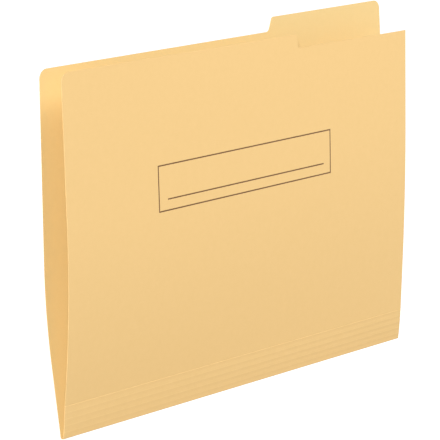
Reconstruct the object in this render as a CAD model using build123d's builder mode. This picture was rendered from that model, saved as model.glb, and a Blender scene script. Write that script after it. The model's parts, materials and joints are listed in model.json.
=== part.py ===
"""Landscape file folder of manila card, standing on its fold with the front a little open.

X runs along the fold, the front faces -Y, and Z is up from the surface that the fold stands on.
The folder is one creased sheet: its panels, strips and folded edge meet at round crease beads, which
lie on the inside of the card and leave a shallow groove on its outside.
"""

import os
from math import cos, radians, sin

from build123d import *

# The sheet, folded: heights are above the surface that the fold stands on
sheet_width = 318.0
card_thickness = 0.3
body_height = 224.0

# Card that the die trims off each panel, at the sides and the top
trim_margin = 3.0

# Index tab on the back panel, flush with the panel's right edge
tab_rise = 9.2
tab_width = 110.0
tab_slant = 3.8

# Recess in the front panel that leaves the tab in view
recess_depth = 9.0
recess_width = 109.0
recess_slant = 1.0

# Corner radii of the die-cut outline
panel_corner = 6.0
tab_outer_corner = 5.5
tab_inner_corner = 2.0
tab_root_corner = 3.0
recess_corner = 1.5

# Folded edge, from crease to crease, and the score lines above it on the front
spine_width = 2.0
score_count = 5
score_pitch = 4.2

# Cross-section of every crease
bead_radius = 0.2
groove_depth = 0.05
crease_gap = 0.1

# Scored strips: lean of the first from upright, and the bend that each score has taken, in degrees
fold_lean = 6.5
score_set = 0.9

# Bow of the panels at each side: a straight run up from the crease and the bend above it, and the
# leans from upright, outwards, in degrees, at the foot and the top
front_left_run = 6.0
front_left_bend = 106.0
front_left_foot_lean = 6.0
front_left_top_lean = -2.3
front_right_run = 35.0
front_right_bend = 99.0
front_right_foot_lean = 1.9
front_right_top_lean = -1.3
back_run = 45.0
back_bend = 61.0
back_left_foot_lean = 9.2
back_left_top_lean = 0.8
back_right_foot_lean = 6.3
back_right_top_lean = 4.0

# Sizes that follow from the ones above
half_width = sheet_width / 2
crease_reach = bead_radius + crease_gap
crease_height = groove_depth + bead_radius
card_offset = crease_height - card_thickness / 2
tab_height = body_height + tab_rise
recess_height = body_height - recess_depth
left_end = Plane.YZ.offset(-half_width)
uncut_left = Plane.YZ.offset(-half_width - trim_margin)
uncut_right = Plane.YZ.offset(half_width + trim_margin)
FRONT = -1
BACK = 1


def up_card(lean):
    """Direction up the card in Y and Z, where a positive lean is towards the back."""
    return Vector(sin(radians(lean)), cos(radians(lean)))


def strip_plane(crease, direction):
    """Plane across a strip at the left end, with X along the strip and Y out of the folder."""
    return Plane(
        origin=(-half_width, crease.X, crease.Y),
        x_dir=(0, direction.X, direction.Y),
        z_dir=(1, 0, 0),
    )


def make_strip(crease, direction, pitch):
    """Flat strip of card between the crease given and the next one, a pitch further on."""
    with BuildPart() as strip:
        with BuildSketch(strip_plane(crease, direction)):
            with Locations((pitch / 2, card_offset)):
                Rectangle(pitch - 2 * crease_reach, card_thickness)
        extrude(amount=sheet_width)
    return strip


def make_bead(crease):
    """Round bead along a crease, about which the card on its two sides can turn."""
    with BuildPart() as bead:
        with BuildSketch(left_end):
            with Locations((crease.X, crease.Y)):
                Circle(bead_radius)
        extrude(amount=sheet_width)
    return bead


def panel_section(end, crease, side, foot_lean, run, bend, top_lean):
    """Section of a bowed panel: a straight run up from its crease, one bend, and straight again."""
    foot = up_card(side * foot_lean)
    across = Vector(foot.Y, -foot.X)
    turn = side * (foot_lean - top_lean)
    bend_radius = bend / radians(turn)
    with BuildSketch(end) as section:
        with BuildLine():
            feet = []
            tops = []
            for face in (-card_thickness / 2, card_thickness / 2):
                start = crease + foot * crease_reach + across * (side * card_offset + face)
                lower = PolarLine(start, run, direction=foot)
                arc = JernArc(lower @ 1, lower % 1, abs(bend_radius + face), turn)
                upper = PolarLine(arc @ 1, tab_height + trim_margin, direction=arc % 1)
                feet.append(lower @ 0)
                tops.append(upper @ 1)
            Line(feet)
            Line(tops)
        make_face()
    return section


def save(piece, name):
    """Label a finished piece and write it to its own file."""
    piece.part.label = name
    export_step(piece.part, f"parts/{name}.step")


os.makedirs("parts", exist_ok=True)

# Creases, from the back of the fold to the highest score: points in Y and Z
back_crease = Vector(spine_width / 2, crease_height)
front_crease = Vector(-spine_width / 2, crease_height)
strip_leans = [-(fold_lean - score_set * strip) for strip in range(score_count)]
score_creases = [front_crease]
for lean in strip_leans:
    score_creases.append(score_creases[-1] + up_card(lean) * score_pitch)
top_score = score_creases[-1]

# Back panel, with the index tab
back_left = panel_section(
    uncut_left, back_crease, BACK,
    back_left_foot_lean, back_run, back_bend, back_left_top_lean,
)
back_right = panel_section(
    uncut_right, back_crease, BACK,
    back_right_foot_lean, back_run, back_bend, back_right_top_lean,
)
with BuildPart() as back_panel:
    loft([back_left.sketch, back_right.sketch], ruled=True)
    with BuildSketch(Plane.XZ):
        with BuildLine():
            rim = FilletPolyline(
                (-half_width, 0),
                (-half_width, body_height),
                (half_width - tab_width - tab_slant, body_height),
                (half_width - tab_width, tab_height),
                (half_width, tab_height),
                (half_width, 0),
                radius=[panel_corner, tab_root_corner, tab_inner_corner, tab_outer_corner],
            )
            Line(rim @ 1, rim @ 0)
        make_face()
    extrude(amount=body_height, both=True, mode=Mode.INTERSECT)
save(back_panel, "back_panel")

# Folded edge and its two creases
spine = make_strip(back_crease, Vector(-1, 0), spine_width)
save(spine, "spine")
save(make_bead(back_crease), "fold_crease_back")
save(make_bead(front_crease), "fold_crease_front")

# Scored strips at the foot of the front, each with the score above it
for number, lean in enumerate(strip_leans, start=1):
    save(make_strip(score_creases[number - 1], up_card(lean), score_pitch), f"score_strip_{number}")
    save(make_bead(score_creases[number]), f"score_crease_{number}")

# Front panel, with the recess beside the tab
front_left = panel_section(
    uncut_left, top_score, FRONT,
    front_left_foot_lean, front_left_run, front_left_bend, front_left_top_lean,
)
front_right = panel_section(
    uncut_right, top_score, FRONT,
    front_right_foot_lean, front_right_run, front_right_bend, front_right_top_lean,
)
with BuildPart() as front_panel:
    loft([front_left.sketch, front_right.sketch], ruled=True)
    with BuildSketch(Plane.XZ):
        with BuildLine():
            rim = FilletPolyline(
                (-half_width, 0),
                (-half_width, body_height),
                (half_width - recess_width - recess_slant, body_height),
                (half_width - recess_width, recess_height),
                (half_width, recess_height),
                (half_width, 0),
                radius=[panel_corner, recess_corner, recess_corner, 0],
            )
            Line(rim @ 1, rim @ 0)
        make_face()
    extrude(amount=body_height, both=True, mode=Mode.INTERSECT)
save(front_panel, "front_panel")
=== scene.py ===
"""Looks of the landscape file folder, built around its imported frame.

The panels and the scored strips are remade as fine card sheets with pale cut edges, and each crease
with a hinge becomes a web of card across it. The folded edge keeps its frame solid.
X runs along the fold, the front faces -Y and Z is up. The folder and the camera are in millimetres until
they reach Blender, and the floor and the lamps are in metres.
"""

import json
from math import atan2, cos, pi, radians, sin, tan

import bmesh
import bpy
import numpy as np
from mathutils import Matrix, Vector


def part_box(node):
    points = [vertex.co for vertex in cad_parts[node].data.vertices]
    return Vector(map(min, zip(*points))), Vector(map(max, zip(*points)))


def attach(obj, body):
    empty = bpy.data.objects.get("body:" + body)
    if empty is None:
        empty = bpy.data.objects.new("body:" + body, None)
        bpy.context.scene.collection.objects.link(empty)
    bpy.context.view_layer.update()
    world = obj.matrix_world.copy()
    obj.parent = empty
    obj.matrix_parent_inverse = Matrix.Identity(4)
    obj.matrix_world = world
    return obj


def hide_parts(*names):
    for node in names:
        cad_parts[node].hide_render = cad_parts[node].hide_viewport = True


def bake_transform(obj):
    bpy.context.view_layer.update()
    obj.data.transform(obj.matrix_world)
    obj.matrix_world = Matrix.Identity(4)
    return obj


MM = 0.001

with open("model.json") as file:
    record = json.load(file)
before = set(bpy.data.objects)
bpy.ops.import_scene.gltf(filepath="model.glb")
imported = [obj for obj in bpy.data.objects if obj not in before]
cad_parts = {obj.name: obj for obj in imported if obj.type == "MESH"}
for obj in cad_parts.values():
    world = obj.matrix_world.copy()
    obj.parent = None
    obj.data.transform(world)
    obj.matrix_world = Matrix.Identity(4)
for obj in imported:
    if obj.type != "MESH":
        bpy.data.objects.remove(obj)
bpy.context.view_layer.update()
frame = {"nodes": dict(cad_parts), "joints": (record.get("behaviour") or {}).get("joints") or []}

# Card and die-cut outline, heights above the surface that the fold stands on
half_width = 159.0
card_thickness = 0.3
body_height = 224.0
tab_height = 233.2
tab_width = 110.0
tab_slant = 3.8
recess_height = 215.0
recess_width = 109.0
recess_slant = 1.0
panel_corner = 6.0
tab_outer_corner = 5.5
tab_inner_corner = 2.0
tab_root_corner = 3.0
recess_corner = 1.5

# Bow of the panels: how far past the card's ends its two sections lie, then for each section the run
# from the crease, the length of the bend, and the leans in degrees, outwards
trim_margin = 3.0
front_bow = {
    "left": {"run": 6.0, "bend": 106.0, "foot_lean": 6.0, "top_lean": -2.3},
    "right": {"run": 35.0, "bend": 99.0, "foot_lean": 1.9, "top_lean": -1.3},
}
back_bow = {
    "left": {"run": 45.0, "bend": 61.0, "foot_lean": 9.2, "top_lean": 0.8},
    "right": {"run": 45.0, "bend": 61.0, "foot_lean": 6.3, "top_lean": 4.0},
}

# Creases, from the middle of each: reach to the card on both sides, overlap and inset of the web's ends,
# depth of the card outside and inside, radius of the bead, and how far out a fold and a score reach
crease_reach = 0.3
web_overlap = 0.05
web_inset = 0.01
outer_depth = 0.25
inner_depth = 0.05
bead_radius = 0.2
fold_radius = 0.17
groove_radius = 0.15

# Scored strips: how far each is dished between its scores, how much of that is left at the left end,
# and the groove along each score
score_count = 5
hollow_depth = 0.08
hollow_left_share = 0.4
groove_depth = 0.04
groove_reach = 0.4

# Printed label on the front: a frame with a line to write on, set a little askew
label_left = -80.9
label_right = 80.3
label_bottom = 129.1
label_top = 157.6
writing_left = -73.2
writing_right = 73.6
writing_height = 136.0
label_skew = 0.0041
print_width = 0.85
ink_lift = 0.02

# Finish of the card: scales per metre of its pulp clouds, its fibres and its tooth, and how much they show
cloud_scale = 260.0
fibre_scale = (500.0, 2200.0, 2200.0)
fibre_share = 0.4
tone_low = 0.3
tone_high = 0.7
roughness_swing = 0.06
tooth_scale = 3200.0
tooth_height = 0.04
tooth_strength = 0.12
card_gloss = 0.2

# Ink: scale per metre of its grain, its two tones and its roughness
ink_scale = 2600.0
ink_dark = (0.110, 0.048, 0.012)
ink_light = (0.170, 0.080, 0.022)
ink_roughness = 0.6

# Stage: half the floor's side in metres, its grey and its glow where it is seen, and the surround's light
floor_reach = 6.0
floor_grey = 0.3
floor_glow = 0.9
fill_level = 0.2

# Camera, from the photo's perspective, and the picture's width and offset in pixels
camera_azimuth = -46.85
camera_elevation = 12.66
camera_distance = 1636.8
camera_aim = Vector((-19.22, 0.0, 112.43))
camera_lens = 211.66
camera_sensor = 36.0
picture_width = 440
picture_offset = 0.5

# Sides of the folder, by the sign of Y
FRONT = -1
BACK = 1

# Materials of a card sheet, in order
OUTSIDE = 0
INSIDE = 1
CUT_EDGE = 2
SCORED = 3


def joint_point(name):
    """Place of a joint in the cross-section: Y and Z, in millimetres."""
    found = [joint for joint in frame["joints"] if joint["name"] == name]
    return np.array(found[0]["pos_m"][1:]) / MM


def make_mesh(name, vertices, faces, sharp_angle=35):
    """Closed mesh object from points in millimetres, smooth except across sharp edges."""
    mesh = bpy.data.meshes.new(name)
    mesh.from_pydata([tuple(np.array(point) * MM) for point in vertices], [], faces)
    mesh.validate()
    shell = bmesh.new()
    shell.from_mesh(mesh)
    bmesh.ops.recalc_face_normals(shell, faces=shell.faces)
    shell.to_mesh(mesh)
    shell.free()
    mesh.shade_smooth()
    mesh.set_sharp_from_angle(angle=radians(sharp_angle))
    piece = bpy.data.objects.new(name, mesh)
    bpy.context.scene.collection.objects.link(piece)
    return piece


# Panel surfaces


class Panel:
    """Middle surface of a bowed panel, ruled between its sections at the two ends of the fold.

    Each section is sampled evenly along its length, which is more than the tab's height.
    """

    samples = 600
    spare_factor = 1.2

    def __init__(self, crease, side, bow):
        self.side = side
        self.length = np.linspace(0.0, self.spare_factor * tab_height, self.samples)
        self.ends = [self.section(crease, **bow[end]) for end in ("left", "right")]

    def section(self, crease, run, bend, foot_lean, top_lean):
        """Y and Z of the card's middle line at one end, along its length."""
        lean = np.interp(self.length, [run, run + bend], [foot_lean, top_lean])
        lean = np.radians(lean) * self.side
        step = np.diff(self.length)
        middle_lean = (lean[1:] + lean[:-1]) / 2
        offset = outer_depth - card_thickness / 2
        start_y = crease[0] + sin(lean[0]) * crease_reach + self.side * offset * cos(lean[0])
        start_z = crease[1] + cos(lean[0]) * crease_reach - self.side * offset * sin(lean[0])
        along_y = start_y + np.concatenate([[0.0], np.cumsum(np.sin(middle_lean) * step)])
        along_z = start_z + np.concatenate([[0.0], np.cumsum(np.cos(middle_lean) * step)])
        return np.stack([along_y, along_z])

    def line(self, x, out=0.0):
        """Y and Z of the card at one place along the fold, moved out of the folder by a distance."""
        share = (x + half_width + trim_margin) / (2 * (half_width + trim_margin))
        middle = self.ends[0] * (1 - share) + self.ends[1] * share
        tangent = np.gradient(middle, axis=1)
        tangent = tangent / np.linalg.norm(tangent, axis=0)
        return middle + np.stack([tangent[1], -tangent[0]]) * self.side * out

    def length_at(self, x, height, out=0.0):
        """Length up the card at which it reaches a height."""
        return np.interp(height, self.line(x, out)[1], self.length)

    def points(self, x, lengths, out=0.0):
        """Points up the card from the crease, moved out of the folder by a distance."""
        moved = self.line(x, out)
        along_y = np.interp(lengths, self.length, moved[0])
        along_z = np.interp(lengths, self.length, moved[1])
        return [(x, y, z) for y, z in zip(np.atleast_1d(along_y), np.atleast_1d(along_z))]


def rounded_rim(corners, radii, steps=10):
    """Polyline through the corners, in X and Z, with an arc of its radius at each inner corner."""
    rim = [corners[0]]
    for before, corner, after, radius in zip(corners, corners[1:], corners[2:], radii):
        to_before = (Vector(before) - Vector(corner)).normalized()
        to_after = (Vector(after) - Vector(corner)).normalized()
        half_angle = to_before.angle(to_after) / 2
        middle = (to_before + to_after).normalized()
        centre = Vector(corner) + middle * (radius / sin(half_angle))
        first = Vector(corner) + to_before * (radius / tan(half_angle)) - centre
        last = Vector(corner) + to_after * (radius / tan(half_angle)) - centre
        sweep = atan2(first.x * last.y - first.y * last.x, first.dot(last))
        for step in range(steps + 1):
            turn = sweep * step / steps
            turned_x = first.x * cos(turn) - first.y * sin(turn)
            turned_y = first.x * sin(turn) + first.y * cos(turn)
            rim.append((centre.x + turned_x, centre.y + turned_y))
    rim.append(corners[-1])
    return np.array(rim)


def sheet_mesh(name, vertices, columns, rows):
    """Closed sheet from a grid of outer points, column by column, and the same grid of inner points.

    Outside, inside and the cut edge all round take the first, second and third material.
    """
    inside = columns * rows
    faces = []
    for column in range(columns - 1):
        for row in range(rows - 1):
            corner = column * rows + row
            quad = (corner, corner + rows, corner + rows + 1, corner + 1)
            faces.append(quad)
            faces.append(tuple(inside + index for index in reversed(quad)))
    face_sides = [OUTSIDE, INSIDE] * (len(faces) // 2)
    outline = [column * rows for column in range(columns)]
    outline += [(columns - 1) * rows + row for row in range(1, rows)]
    outline += [column * rows + rows - 1 for column in range(columns - 2, -1, -1)]
    outline += list(range(rows - 2, 0, -1))
    for first, second in zip(outline, outline[1:] + outline[:1]):
        faces.append((second, first, first + inside, second + inside))
        face_sides.append(CUT_EDGE)
    sheet = make_mesh(name, vertices, faces)
    sheet.data.polygons.foreach_set("material_index", face_sides)
    return sheet


def make_panel(name, surface, rim, column_pitch=4.0, rows=60):
    """Card sheet between its crease and the rim, with the card's thickness and square cut edges."""
    even = np.linspace(-half_width, half_width, int(2 * half_width / column_pitch))
    columns = np.unique(np.round(np.concatenate([even, rim[:, 0]]), decimals=4))
    tops = np.interp(columns, rim[:, 0], rim[:, 1])
    vertices = []
    for out in (card_thickness / 2, -card_thickness / 2):
        for x, top in zip(columns, tops):
            lengths = np.linspace(0.0, surface.length_at(x, top, out), rows + 1)
            vertices += surface.points(x, lengths, out)
    return sheet_mesh(name, vertices, len(columns), rows + 1)


front_surface = Panel(joint_point("score_5"), FRONT, front_bow)
back_surface = Panel(joint_point("back_fold"), BACK, back_bow)
front_rim = rounded_rim(
    [
        (-half_width, 0.0),
        (-half_width, body_height),
        (half_width - recess_width - recess_slant, body_height),
        (half_width - recess_width, recess_height),
        (half_width, recess_height),
    ],
    [panel_corner, recess_corner, recess_corner],
)[1:]
back_rim = rounded_rim(
    [
        (-half_width, 0.0),
        (-half_width, body_height),
        (half_width - tab_width - tab_slant, body_height),
        (half_width - tab_width, tab_height),
        (half_width, tab_height),
        (half_width, 0.0),
    ],
    [panel_corner, tab_root_corner, tab_inner_corner, tab_outer_corner],
)[1:-1]
front_card = make_panel("front_card", front_surface, front_rim)
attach(front_card, "front_panel")
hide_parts("front_panel")
back_card = make_panel("back_card", back_surface, back_rim)
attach(back_card, "back_panel")
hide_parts("back_panel")


# Creases


def unit(vector):
    """Vector of length one in the same direction."""
    return vector / np.linalg.norm(vector)


def outward(arm, outside):
    """Normal of an arm of the cross-section, on the outside of the folder."""
    normal = np.array([arm[1], -arm[0]])
    return normal if np.dot(normal, outside) > 0 else -normal


def curve_through(start, middle, end, steps=12):
    """Points of the parabola from start to end that passes through the middle point half way."""
    control = 2 * middle - (start + end) / 2
    shares = np.linspace(0.0, 1.0, steps + 1)
    return [(1 - t) ** 2 * start + 2 * t * (1 - t) * control + t**2 * end for t in shares]


def web_loop(centre, arms, outside, outer_radius):
    """Closed cross-section of a crease: the groove or fold outside, then the bead inside."""
    reach = crease_reach + web_overlap
    away = unit(outside)
    loop = []
    for order, depth, middle in (
        (arms, outer_depth - web_inset, away * outer_radius),
        (arms[::-1], web_inset - inner_depth, -away * bead_radius),
    ):
        start, end = (arm * reach + outward(arm, outside) * depth for arm in order)
        loop += [centre + point for point in curve_through(start, middle, end)]
    return loop


def make_web(name, node, joint, arms, outside, outer_radius):
    """Card across one crease, between the bodies on its two sides."""
    centre = joint_point(joint)
    vertices = []
    for x, end_arms in zip((-half_width, half_width), arms):
        vertices += [(x, y, z) for y, z in web_loop(centre, end_arms, outside, outer_radius)]
    count = len(vertices) // 2
    faces = [(i, (i + 1) % count, count + (i + 1) % count, count + i) for i in range(count)]
    faces.append(tuple(reversed(range(count))))
    faces.append(tuple(range(count, 2 * count)))
    web = make_mesh(name, vertices, faces, sharp_angle=50)
    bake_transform(web)
    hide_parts(node)
    return web


def node_point(name):
    """Middle of a frame node in the cross-section: Y and Z, in millimetres."""
    low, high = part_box(name)
    return (np.array(low[1:]) + np.array(high[1:])) / 2 / MM


def make_scored_card(name, points, column_pitch=6.0, row_pitch=0.14):
    """Strips of card from the front fold to the highest score, dished, with a groove at each score."""
    strip_lengths = [np.linalg.norm(upper - lower) for lower, upper in zip(points, points[1:])]
    lengths = np.concatenate([[0.0], np.cumsum(strip_lengths)])
    rows = int(lengths[-1] / row_pitch)
    along = np.linspace(crease_reach, lengths[-1] - crease_reach, rows)
    columns = np.linspace(-half_width, half_width, int(2 * half_width / column_pitch))
    middle = np.stack([np.interp(along, lengths, [p[axis] for p in points]) for axis in (0, 1)], axis=1)
    tangent = np.gradient(middle, axis=0)
    normal = np.stack([-tangent[:, 1], tangent[:, 0]], axis=1)
    normal = normal / np.linalg.norm(normal, axis=1)[:, None]
    nearest = np.min(np.abs(along[:, None] - lengths[None, 1:-1]), axis=1)
    pitch = lengths[-1] / score_count
    hollow = hollow_depth * (0.5 - 0.5 * np.cos(2 * pi * along / pitch))
    groove = np.clip(1 - nearest / groove_reach, 0.0, 1.0)
    ridge = (bead_radius - inner_depth) * np.sqrt(np.clip(1 - (nearest / bead_radius) ** 2, 0.0, 1.0))
    outside = []
    inside = []
    for x in columns:
        share = hollow_left_share + (1 - hollow_left_share) * (x + half_width) / (2 * half_width)
        outer = outer_depth - share * (hollow + groove_depth * groove)
        inner = inner_depth + ridge + share * hollow
        outside += [(x, *point) for point in middle + normal * outer[:, None]]
        inside += [(x, *point) for point in middle - normal * inner[:, None]]
    card = sheet_mesh(name, outside + inside, len(columns), rows)
    for face in card.data.polygons:
        place = np.array(face.center[1:]) / MM
        near_score = min(np.linalg.norm(place - point) for point in points[1:-1]) < groove_reach
        if face.material_index == OUTSIDE and near_score:
            face.material_index = SCORED
    return card


def arm_between(first, second):
    """Direction in the cross-section from one point to another."""
    return unit(second - first)


def foot_arms(bow, side):
    """Directions up a panel from its crease, at the left and the right end."""
    leans = [radians(side * bow[end]["foot_lean"]) for end in ("left", "right")]
    return [np.array([sin(lean), cos(lean)]) for lean in leans]


forward = np.array([-1.0, 0.0])
down_forward = np.array([-1.0, -1.0])
down_backward = np.array([1.0, -1.0])
inner_scores = [f"score_crease_{number}" for number in range(1, score_count)]
strips = [f"score_strip_{number}" for number in range(1, score_count + 1)]
base_points = [
    joint_point("front_fold"),
    *(node_point(name) for name in inner_scores),
    joint_point("score_5"),
]
scored_card = make_scored_card("scored_card", base_points)
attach(scored_card, "scored_base")
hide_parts(*inner_scores, *strips)

along_spine = arm_between(joint_point("back_fold"), joint_point("front_fold"))
lowest_arm = arm_between(base_points[0], base_points[1])
highest_arm = arm_between(base_points[-1], base_points[-2])
webs = [
    make_web(
        "fold_web_back",
        node="fold_crease_back",
        joint="back_fold",
        arms=[(along_spine, foot) for foot in foot_arms(back_bow, BACK)],
        outside=down_backward,
        outer_radius=fold_radius,
    ),
    make_web(
        "fold_web_front",
        node="fold_crease_front",
        joint="front_fold",
        arms=[(-along_spine, lowest_arm)] * 2,
        outside=down_forward,
        outer_radius=fold_radius,
    ),
    make_web(
        "score_web_5",
        node="score_crease_5",
        joint="score_5",
        arms=[(highest_arm, foot) for foot in foot_arms(front_bow, FRONT)],
        outside=forward,
        outer_radius=groove_radius,
    ),
]


# Printed label


def ink_band(path, closed):
    """Thin band of ink along a path of X and Z on the front's outside, as points and faces.

    Each place along the path has four corners: inner and outer on one side, then on the other.
    """
    corners = 4
    vertices = []
    for place, spot in enumerate(np.array(path)):
        before = np.array(path[place - 1] if closed or place else path[0])
        after = np.array(path[(place + 1) % len(path)] if closed or place + 1 < len(path) else path[-1])
        arriving = spot - before
        leaving = after - spot
        sides = []
        for run in (arriving, leaving):
            if np.linalg.norm(run) > 0:
                sides.append(np.array([-run[1], run[0]]) / np.linalg.norm(run))
        across = np.sum(sides, axis=0)
        across = across / np.linalg.norm(across)
        across = across * (print_width / 2 / np.dot(across, sides[0]))
        for side in (-1, 1):
            x, z = spot + side * across
            for lift in (-ink_lift, ink_lift):
                out = card_thickness / 2 + lift
                vertices += front_surface.points(x, front_surface.length_at(x, z, out), out)
    faces = []
    spans = len(path) if closed else len(path) - 1
    for place in range(spans):
        here = corners * place
        there = corners * ((place + 1) % len(path))
        for first, second in ((0, 1), (1, 3), (3, 2), (2, 0)):
            faces.append((here + first, here + second, there + second, there + first))
    if not closed:
        last = corners * (len(path) - 1)
        faces.append((0, 2, 3, 1))
        faces.append((last, last + 1, last + 3, last + 2))
    return vertices, faces


def skewed(x, z):
    """Place of a printed point after the label's small turn about its middle."""
    middle_x = (label_left + label_right) / 2
    middle_z = (label_bottom + label_top) / 2
    return x - label_skew * (z - middle_z), z + label_skew * (x - middle_x)


def straight(start, end, pitch=5.0):
    """Points along a straight printed line, close enough together to follow the bow."""
    count = max(2, int(np.linalg.norm(np.array(end) - np.array(start)) / pitch))
    return [skewed(*point) for point in np.linspace(start, end, count)]


label_corners = [
    (label_left, label_bottom),
    (label_right, label_bottom),
    (label_right, label_top),
    (label_left, label_top),
]
frame_path = []
for first, second in zip(label_corners, label_corners[1:] + label_corners[:1]):
    frame_path += straight(first, second)[:-1]
frame_points, frame_faces = ink_band(frame_path, closed=True)
line_points, line_faces = ink_band(
    straight((writing_left, writing_height), (writing_right, writing_height)), closed=False
)
line_faces = [tuple(len(frame_points) + index for index in face) for face in line_faces]
label = make_mesh("label_print", frame_points + line_points, frame_faces + line_faces)
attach(label, "front_panel")


# Materials


class Shader:
    """Small helper that adds nodes to a material and links them."""

    def __init__(self, name):
        self.material = bpy.data.materials.new(name)
        self.material.use_nodes = True
        self.nodes = self.material.node_tree.nodes
        self.links = self.material.node_tree.links
        self.surface = self.nodes["Principled BSDF"]

    def add(self, kind, settings=None, **inputs):
        """Add a node and set or link its inputs, where an underscore stands for a space in a name."""
        node = self.nodes.new(kind)
        for key, value in (settings or {}).items():
            setattr(node, key, value)
        for key, value in inputs.items():
            socket = node.inputs[key.replace("_", " ")]
            if isinstance(value, bpy.types.NodeSocket):
                self.links.new(value, socket)
            else:
                socket.default_value = value
        return node

    def link(self, output, socket):
        """Link an output to one of the surface's own inputs."""
        self.links.new(output, self.surface.inputs[socket])


def card_material(name, light, dark, roughness):
    """Uncoated card: pulp clouds, short fibres lying along the sheet and a faint tooth."""
    shader = Shader(name)
    place = shader.add("ShaderNodeTexCoord").outputs["Object"]
    clouds = shader.add("ShaderNodeTexNoise", Vector=place, Scale=cloud_scale, Detail=5.0, Roughness=0.6)
    along = shader.add("ShaderNodeMapping", Vector=place, Scale=fibre_scale)
    fibres = shader.add("ShaderNodeTexNoise", Vector=along.outputs["Vector"], Scale=1.0, Detail=3.0)
    tone = shader.add("ShaderNodeMix", {"data_type": "FLOAT"}, Factor=fibre_share)
    shader.links.new(clouds.outputs["Fac"], tone.inputs[2])
    shader.links.new(fibres.outputs["Fac"], tone.inputs[3])
    ramp = shader.add("ShaderNodeValToRGB", Fac=tone.outputs[0])
    ramp.color_ramp.elements[0].position = tone_low
    ramp.color_ramp.elements[0].color = (*dark, 1.0)
    ramp.color_ramp.elements[1].position = tone_high
    ramp.color_ramp.elements[1].color = (*light, 1.0)
    shader.link(ramp.outputs["Color"], "Base Color")
    tooth = shader.add("ShaderNodeTexNoise", Vector=place, Scale=tooth_scale, Detail=2.0)
    bump = shader.add(
        "ShaderNodeBump",
        Strength=tooth_strength,
        Distance=tooth_height * MM,
        Height=tooth.outputs["Fac"],
    )
    shader.link(bump.outputs["Normal"], "Normal")
    finish = shader.add(
        "ShaderNodeMapRange",
        Value=tone.outputs[0],
        From_Min=tone_low,
        From_Max=tone_high,
        To_Min=roughness + roughness_swing,
        To_Max=roughness - roughness_swing,
    )
    shader.link(finish.outputs["Result"], "Roughness")
    shader.surface.inputs["Specular IOR Level"].default_value = card_gloss
    return shader.material


def ink_material():
    """Thin offset ink that lets a little of the card's tooth through."""
    shader = Shader("print_ink")
    place = shader.add("ShaderNodeTexCoord").outputs["Object"]
    grain = shader.add("ShaderNodeTexNoise", Vector=place, Scale=ink_scale, Detail=2.0)
    ramp = shader.add("ShaderNodeValToRGB", Fac=grain.outputs["Fac"])
    ramp.color_ramp.elements[0].color = (*ink_dark, 1.0)
    ramp.color_ramp.elements[1].color = (*ink_light, 1.0)
    shader.link(ramp.outputs["Color"], "Base Color")
    shader.surface.inputs["Roughness"].default_value = ink_roughness
    return shader.material


manila = card_material(
    "manila_card",
    light=(0.811, 0.550, 0.239),
    dark=(0.793, 0.536, 0.229),
    roughness=0.5,
)
# Painted light: the inside faces get a copy of the card painted paler and less orange than the outside, to
# offset the warm light that bounces between the panels inside the fold
manila_inside_painted_paler = card_material(
    "manila_card_inside_painted_paler",
    light=(0.785, 0.571, 0.257),
    dark=(0.767, 0.555, 0.246),
    roughness=0.55,
)
cut_edge = card_material(
    "cut_card_edge",
    light=(0.80, 0.555, 0.250),
    dark=(0.77, 0.520, 0.222),
    roughness=0.75,
)
creased = card_material(
    "creased_card",
    light=(0.845, 0.585, 0.262),
    dark=(0.810, 0.550, 0.236),
    roughness=0.6,
)
for card in (front_card, back_card, scored_card):
    for material in (manila, manila_inside_painted_paler, cut_edge, creased):
        card.data.materials.append(material)
for web in webs:
    web.data.materials.append(creased)
label.data.materials.append(ink_material())
spine = frame["nodes"]["spine"]
spine.data.materials.clear()
spine.data.materials.append(manila)


# Stage, light and camera


def seen_share(node_tree):
    """Output that is one for what the camera sees, also in a gloss or through glass, and else zero."""
    path = node_tree.nodes.new("ShaderNodeLightPath")
    seen = path.outputs["Is Camera Ray"]
    for ray in ("Is Glossy Ray", "Is Transmission Ray"):
        larger = node_tree.nodes.new("ShaderNodeMath")
        larger.operation = "MAXIMUM"
        node_tree.links.new(seen, larger.inputs[0])
        node_tree.links.new(path.outputs[ray], larger.inputs[1])
        seen = larger.outputs[0]
    return seen


def make_floor():
    """Plain pale floor that the camera sees as white apart from the folder's shadow."""
    mesh = bpy.data.meshes.new("floor")
    corners = [(x * floor_reach, y * floor_reach, 0.0) for x, y in ((-1, -1), (1, -1), (1, 1), (-1, 1))]
    mesh.from_pydata(corners, [], [(0, 1, 2, 3)])
    floor = bpy.data.objects.new("floor", mesh)
    bpy.context.scene.collection.objects.link(floor)
    material = bpy.data.materials.new("pale_floor")
    material.use_nodes = True
    nodes = material.node_tree.nodes
    links = material.node_tree.links
    nodes.clear()
    output = nodes.new("ShaderNodeOutputMaterial")
    matte = nodes.new("ShaderNodeBsdfDiffuse")
    matte.inputs["Color"].default_value = (floor_grey, floor_grey, floor_grey, 1.0)
    glow = nodes.new("ShaderNodeEmission")
    level = nodes.new("ShaderNodeMath")
    level.operation = "MULTIPLY"
    level.inputs[1].default_value = floor_glow
    links.new(seen_share(material.node_tree), level.inputs[0])
    links.new(level.outputs[0], glow.inputs["Strength"])
    both = nodes.new("ShaderNodeAddShader")
    links.new(matte.outputs[0], both.inputs[0])
    links.new(glow.outputs[0], both.inputs[1])
    links.new(both.outputs[0], output.inputs["Surface"])
    mesh.materials.append(material)


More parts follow.
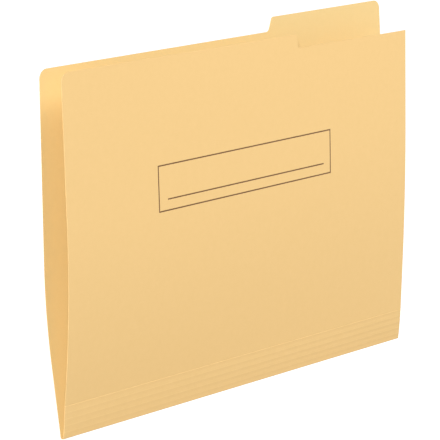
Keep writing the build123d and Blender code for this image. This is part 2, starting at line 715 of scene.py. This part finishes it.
def make_world():
    """Even white surround: full white where it is seen, softer as light."""
    world = bpy.data.worlds.new("studio")
    bpy.context.scene.world = world
    world.use_nodes = True
    nodes = world.node_tree.nodes
    links = world.node_tree.links
    level = nodes.new("ShaderNodeMix")
    level.data_type = "FLOAT"
    level.inputs[2].default_value = fill_level
    level.inputs[3].default_value = 1.0
    links.new(seen_share(world.node_tree), level.inputs[0])
    links.new(level.outputs[0], nodes["Background"].inputs["Strength"])
    nodes["Background"].inputs["Color"].default_value = (1.0, 1.0, 1.0, 1.0)


def aim(thing, place, target):
    """Put an object into the scene at a place, turned to face a target, both in metres."""
    thing.location = place
    thing.rotation_euler = (Vector(target) - Vector(place)).to_track_quat("-Z", "Y").to_euler()
    bpy.context.scene.collection.objects.link(thing)


def around(azimuth, elevation, distance, target):
    """Point at a distance from a target, at an azimuth and elevation in degrees."""
    turn = radians(azimuth)
    rise = radians(elevation)
    direction = Vector((sin(turn) * cos(rise), -cos(turn) * cos(rise), sin(rise)))
    return Vector(target) + distance * direction


def make_softbox(name, azimuth, elevation, distance, size, power):
    """Square area lamp that faces the middle of the folder."""
    lamp = bpy.data.lights.new(name, "AREA")
    lamp.shape = "SQUARE"
    lamp.size = size
    lamp.energy = power
    middle = (0.0, 0.0, body_height / 2 * MM)
    aim(bpy.data.objects.new(name, lamp), around(azimuth, elevation, distance, middle), middle)


make_floor()
make_world()

# Lamps, in degrees, metres and watts
make_softbox("key", azimuth=-48.0, elevation=16.0, distance=6.0, size=0.8, power=300.0)
make_softbox("top", azimuth=40.0, elevation=49.0, distance=1.7, size=0.6, power=17.6)
make_softbox("rear_left", azimuth=-128.0, elevation=10.0, distance=6.0, size=2.6, power=327.0)
make_softbox("rear_right", azimuth=150.0, elevation=12.0, distance=6.0, size=2.6, power=150.0)

camera = bpy.data.cameras.new("camera")
camera.lens = camera_lens
camera.sensor_width = camera_sensor
camera.shift_x = -picture_offset / picture_width
camera.shift_y = picture_offset / picture_width
camera_object = bpy.data.objects.new("camera", camera)
target = camera_aim * MM
aim(camera_object, around(camera_azimuth, camera_elevation, camera_distance * MM, target), target)
bpy.context.scene.camera = camera_object
bpy.context.scene.view_settings.view_transform = "Standard"
